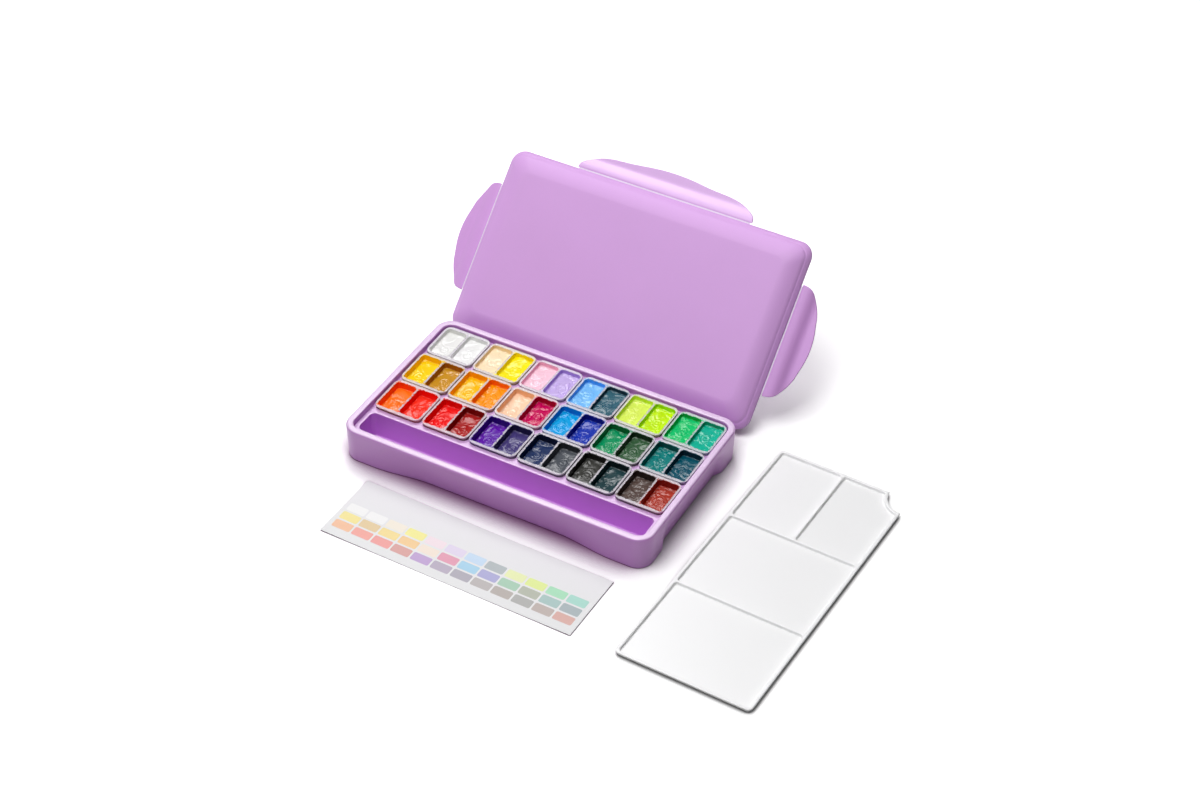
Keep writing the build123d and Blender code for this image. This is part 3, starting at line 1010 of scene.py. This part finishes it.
def wet_gouache():
    """Thick glossy paint, deeper in its streaks, with painted shade: a deeper colour along the cell's walls
    and on the film of paint that clings to them.
    """
    finish = Finish("wet_gouache", Specular_IOR_Level=0.28)
    tint = finish.attribute("tint", "Color")
    deep = finish.node("ShaderNodeVectorMath", {"operation": "MULTIPLY"}, [tint, tint])
    film = finish.attribute("film", "Fac")
    streak = finish.noise(2.4 * MM, 4, 0.6).ramp(0.35, 0.75)
    # Painted shade toward tint times tint where the film mark is high; the streaks are the paint's own
    # deeper colour.
    finish.set("Base Color", finish.mix((streak * 0.2 + film * 0.8).clamp(), tint, deep))
    finish.set("Roughness", streak * 0.12 + 0.1)
    finish.bump(finish.noise(2.5 * MM, 2), 0.3, 0.06 * MM)
    return finish


def white_gloss():
    """Smooth white tray plastic with faint handling marks."""
    finish = Finish("white_tray")
    haze = finish.noise(30 * MM, 3)
    finish.set("Base Color", finish.mix(haze, (0.945, 0.945, 0.95), (0.965, 0.965, 0.97)))
    finish.set("Roughness", haze * 0.06 + 0.27)
    finish.bump(finish.noise(8 * MM, 2), 0.1, 0.02 * MM)
    return finish


def printed_paper():
    """Smooth card with paper fibres and pale ink."""
    finish = Finish("printed_paper")
    fibre = finish.noise(0.5 * MM, 4, 0.7)
    ink = finish.attribute("ink", "Color")
    finish.set("Base Color", finish.mix(fibre * 0.08, ink, (0.45, 0.45, 0.45)))
    finish.set("Roughness", fibre * 0.2 + 0.45)
    finish.bump(fibre, 0.2, 0.02 * MM)
    return finish


# ======== the set ========
case_piece(satin_plastic("case_lilac_with_painted_light", CASE_LILAC, 0.9, 0.34, TROUGH_PAINTED_LIGHT_LILAC))
lid_piece(satin_plastic("lid_lilac_painted_light", LID_LILAC_PAINTED_LIGHTER, 0.5, 0.50))
lid_flaps(satin_plastic("long_flap_lilac_painted_light", LONG_FLAP_LILAC_PAINTED_LIGHTER, 0.8, 0.38),
          satin_plastic("short_flap_lilac_painted_light_and_shade", SHORT_FLAP_LILAC_PAINTED_LIGHT_AND_SHADE, 0.55, 0.42), web_plastic())
cup_finish = milky_plastic()
paint_finish = wet_gouache()
for row in ROWS:
    for column in range(1, COLUMNS + 1):
        cup_piece(row, column, cup_finish)
        paint_piece(row, column, paint_finish)
palette_piece(white_gloss())
card_piece(printed_paper())


# ======== studio ========
WHITE = (1.0, 1.0, 1.0)
SHADOW_LILAC = (0.22, 0.055, 0.20)
SHADOW_GREY = (0.13, 0.12, 0.13)
shadow_reach = 35 * MM
FLOOR_HALF = 4
CAMERA_PLACE = (0.75147, -1.30346, 1.33984)
AIM = Vector((0.05, 0, 0))


def seen(nodes):
    """1 for a ray that the camera, a reflection or a clear material sends out, otherwise 0."""
    rays = [nodes.node("ShaderNodeLightPath", {}, {}, ray)
            for ray in ("Is Camera Ray", "Is Glossy Ray", "Is Transmission Ray")]
    return (rays[0] + rays[1] + rays[2]).clamp()


def studio_floor():
    """A white floor with a soft shadow near each piece: lilac by the case, grey by the palette."""
    bm = bmesh.new()
    bmesh.ops.create_grid(bm, x_segments=1, y_segments=1, size=FLOOR_HALF)
    mesh = bpy.data.meshes.new("studio_floor")
    bm.to_mesh(mesh)
    bm.free()
    floor = bpy.data.objects.new("studio_floor", mesh)
    bpy.context.scene.collection.objects.link(floor)
    finish = Finish("studio_floor", Roughness=1.0, Specular_IOR_Level=0.0, Emission_Strength=1.0)
    shown = seen(finish)
    near = finish.node("ShaderNodeAmbientOcclusion", {"samples": 16}, {"Distance": shadow_reach}, "AO")
    open_sky = near.ramp(0.1, 0.92)
    by_palette = finish.axis("X").ramp(0.148, 0.158) * (1 - finish.axis("Y").ramp(0.08, 0.12))
    lift = finish.axis("X").ramp(0.115, 0.14) * 0.45 - by_palette * 0.25
    open_sky = open_sky * open_sky * (1 - lift) + lift
    shadow = finish.mix(by_palette, SHADOW_LILAC, SHADOW_GREY)
    paper = finish.mix(open_sky, shadow, WHITE)
    finish.set("Base Color", finish.mix(shown, (0.65, 0.65, 0.65), paper))
    glow = shown * open_sky * open_sky
    finish.set("Emission Color", finish.mix(glow, (0.0, 0.0, 0.0), (0.36, 0.36, 0.36)))
    mesh.materials.append(finish.material)


def softbox(name, place, size, power):
    """A square lamp that faces the middle of the set."""
    lamp = bpy.data.lights.new(name, "AREA")
    lamp.shape = "SQUARE"
    lamp.size = size
    lamp.energy = power
    box = bpy.data.objects.new(name, lamp)
    box.location = place
    box.rotation_euler = (AIM - Vector(place)).to_track_quat("-Z", "Y").to_euler()
    bpy.context.scene.collection.objects.link(box)


def studio_camera():
    """The camera, from the case's right front and above, turned a little about its own axis."""
    across, height, roll = radians(28.222), radians(40.473), radians(0.824)
    back = Vector((sin(across) * cos(height), -cos(across) * cos(height), sin(height)))
    level = Vector((cos(across), sin(across), 0))
    up = back.cross(level)
    right = cos(roll) * level + sin(roll) * up
    up = back.cross(right)
    camera = bpy.data.cameras.new("studio_camera")
    camera.lens = 76.95
    camera.sensor_width = 36
    camera.clip_start = 0.05
    stand = bpy.data.objects.new("studio_camera", camera)
    turn = Matrix((right, up, back)).transposed().to_4x4()
    stand.matrix_world = Matrix.Translation(CAMERA_PLACE) @ turn
    bpy.context.scene.collection.objects.link(stand)
    bpy.context.scene.camera = stand


def studio_world():
    """White for the camera. Glossy pieces mirror a light panel behind the set and a dark gap below it."""
    world = bpy.data.worlds.new("studio_world")
    world.use_nodes = True
    bpy.context.scene.world = world
    nodes = Nodes(world.node_tree)
    sky = world.node_tree.nodes["Background"]
    nodes.feed(sky.inputs["Color"], WHITE)
    toward = nodes.node("ShaderNodeTexCoord", {}, {}, "Generated")
    right, back, above = (nodes.node("ShaderNodeSeparateXYZ", {}, [toward], axis) for axis in "XYZ")
    behind = back.ramp(0.1, 0.4)
    panel_foot, panel_top = above.ramp(0.79, 0.83), above.ramp(0.92, 0.96)
    panel, gap = panel_foot - panel_top, above.ramp(0.0, 0.1) - panel_foot
    shine = behind * (panel * 5.0 - gap * 0.7) - right.ramp(0.3, 0.7) * 0.8
    glossy = nodes.node("ShaderNodeLightPath", {}, {}, "Is Glossy Ray")
    diffuse = nodes.node("ShaderNodeLightPath", {}, {}, "Is Diffuse Ray")
    side_light = diffuse * (right.ramp(-0.6, 0.6) * -0.2 + 0.1)
    nodes.feed(sky.inputs["Strength"], seen(nodes) * 0.85 + glossy * shine + side_light + 0.15)


studio_floor()
softbox("back_softbox", (-0.62, 0.80, 1.35), 0.55, 8)
softbox("top_softbox", (-0.15, -0.35, 1.65), 0.9, 18)
studio_camera()
studio_world()
bpy.context.scene.view_settings.view_transform = "Standard"
